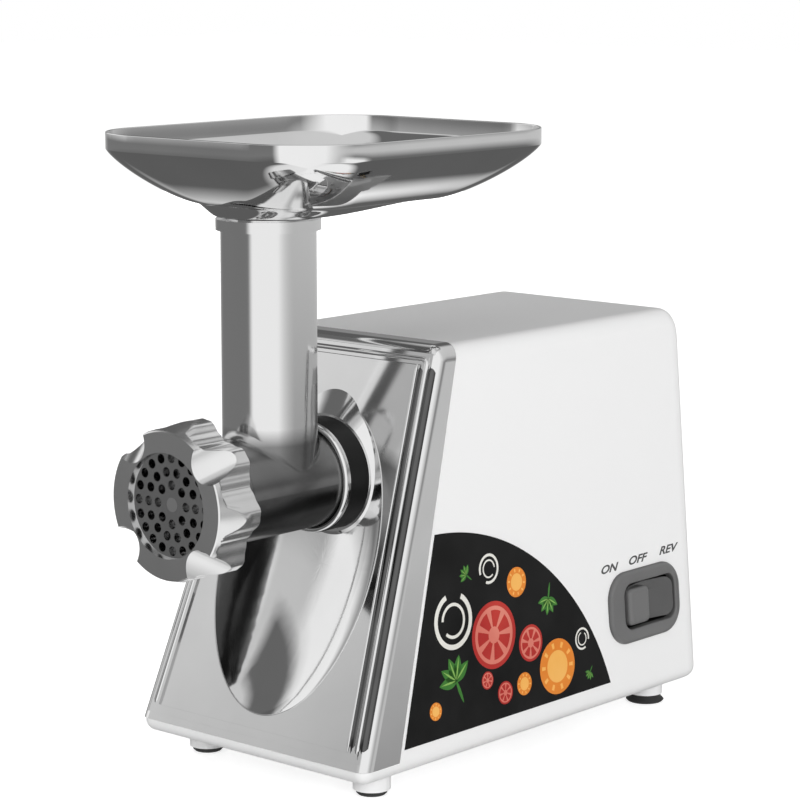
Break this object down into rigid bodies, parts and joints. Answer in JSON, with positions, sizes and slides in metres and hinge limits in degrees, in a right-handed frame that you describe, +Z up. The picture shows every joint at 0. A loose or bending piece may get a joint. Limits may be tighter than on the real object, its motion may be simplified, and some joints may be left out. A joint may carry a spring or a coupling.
{
  "type": "electric meat grinder",
  "caption": "Countertop electric meat grinder: leaning white housing with a polished scooped front, removable grinding head with a feed tube, ring nut and tray, and a side rocker switch.",
  "frame": {"origin": "on the floor under the middle of the bounding box, feet at z = 0", "axes": "+Z up, -Y towards the mince outlet, +X towards the side with the switch"},
  "size_m": [0.179, 0.3732, 0.3564],
  "materials": {
    "white_plastic": "gloss",
    "plated_cover": "polished",
    "black_plastic": "satin",
    "grey_plastic": "satin",
    "natural_plastic": "satin",
    "black_rubber": "matte",
    "screw_steel": "zinc plated",
    "printed_film": "gloss print",
    "gear_case_alloy": "as cast",
    "gear_steel": "machined",
    "sintered_bronze": "sintered",
    "shaft_steel": "ground",
    "core_steel": "stamped sheets",
    "copper": "enamelled wire",
    "brass": "stamped",
    "carbon": "carbon",
    "polished_alloy": "polished",
    "tool_steel": "ground",
    "stainless_mirror": "mirror polished"
  },
  "bodies": {
    "housing": {"casing_shell": "white_plastic", "front_cover": "plated_cover", "base_plate": "white_plastic", "base_screws": "screw_steel", "front_foot_pads": "black_rubber", "rear_feet": "black_rubber", "switch_bezel": "grey_plastic", "switch_body": "black_plastic", "switch_terminals": "brass", "cord_gland": "black_rubber", "side_print": "printed_film", "gear_case_front": "gear_case_alloy", "gear_case_back": "gear_case_alloy", "gear_case_screws": "screw_steel", "socket_collar": "black_plastic", "collar_screws": "screw_steel", "idler_bushes": "sintered_bronze", "output_bush": "sintered_bronze", "output_rear_bush": "sintered_bronze", "stator_core": "core_steel", "field_coils": "copper", "motor_bearings": "sintered_bronze", "motor_bracket": "gear_case_alloy", "motor_screws": "screw_steel", "brush_holders": "brass", "carbon_brushes": "carbon", "brush_springs": "screw_steel", "internal_leads": "black_rubber", "motor_cushion": "black_rubber"},
    "output_drive": {"output_gear": "gear_steel", "output_shaft": "shaft_steel"},
    "second_idler": {"second_gear": "gear_steel", "second_pinion": "gear_steel"},
    "first_idler": {"first_gear": "natural_plastic", "first_pinion": "gear_steel"},
    "rotor": {"rotor_shaft": "shaft_steel", "armature_core": "core_steel", "armature_windings": "copper", "commutator": "copper", "cooling_fan": "natural_plastic"},
    "rocker": {"switch_rocker": "grey_plastic"},
    "head": {"head_body": "polished_alloy"},
    "worm": {"feed_worm": "polished_alloy", "cross_knife": "tool_steel"},
    "tray": {"hopper_tray": "stainless_mirror"},
    "plate": {"cutting_plate": "tool_steel"},
    "nut": {"ring_nut": "polished_alloy"}
  },
  "joints": [
    {"name": "drive_spin", "type": "hinge", "parent": "housing", "child": "output_drive", "pos_m": [0, 0, 0.165], "axis": [0, 1, 0], "continuous": true},
    {"name": "second_idler_spin", "type": "hinge", "parent": "housing", "child": "second_idler", "pos_m": [0.01165, 0, 0.12153], "axis": [0, 1, 0], "continuous": true},
    {"name": "first_idler_spin", "type": "hinge", "parent": "housing", "child": "first_idler", "pos_m": [-0.02302, 0, 0.10724], "axis": [0, 1, 0], "continuous": true},
    {"name": "rotor_spin", "type": "hinge", "parent": "housing", "child": "rotor", "pos_m": [-0.00001, 0, 0.088], "axis": [0, 1, 0], "continuous": true},
    {"name": "rocker_tilt", "type": "hinge", "parent": "housing", "child": "rocker", "pos_m": [0.07364, 0.1335, 0.06844], "axis": [-0.0823, 0, 0.9966], "range_deg": [-8, 8]},
    {"name": "head_release", "type": "slide", "parent": "housing", "child": "head", "axis": [0, -1, 0], "range_m": [0, 0.06]},
    {"name": "worm_spin", "type": "hinge", "parent": "head", "child": "worm", "pos_m": [0, 0, 0.165], "axis": [0, 1, 0], "continuous": true},
    {"name": "tray_lift", "type": "slide", "parent": "head", "child": "tray", "axis": [0, 0, 1], "range_m": [0, 0.07]},
    {"name": "plate_travel", "type": "slide", "parent": "head", "child": "plate", "axis": [0, -1, 0], "range_m": [0, 0.012]},
    {"name": "nut_turn", "type": "hinge", "parent": "plate", "child": "nut", "pos_m": [0, -0.17, 0.165], "axis": [0, -1, 0], "range_deg": [0, 1440]}
  ],
  "couplings": [
    {"joint": "second_idler_spin", "follows": "drive_spin", "ratio": -4},
    {"joint": "first_idler_spin", "follows": "drive_spin", "ratio": 16},
    {"joint": "rotor_spin", "follows": "drive_spin", "ratio": -64},
    {"joint": "worm_spin", "follows": "drive_spin", "ratio": 1},
    {"joint": "plate_travel", "follows": "nut_turn", "m_per_rad": 0.00047746}
  ]
}
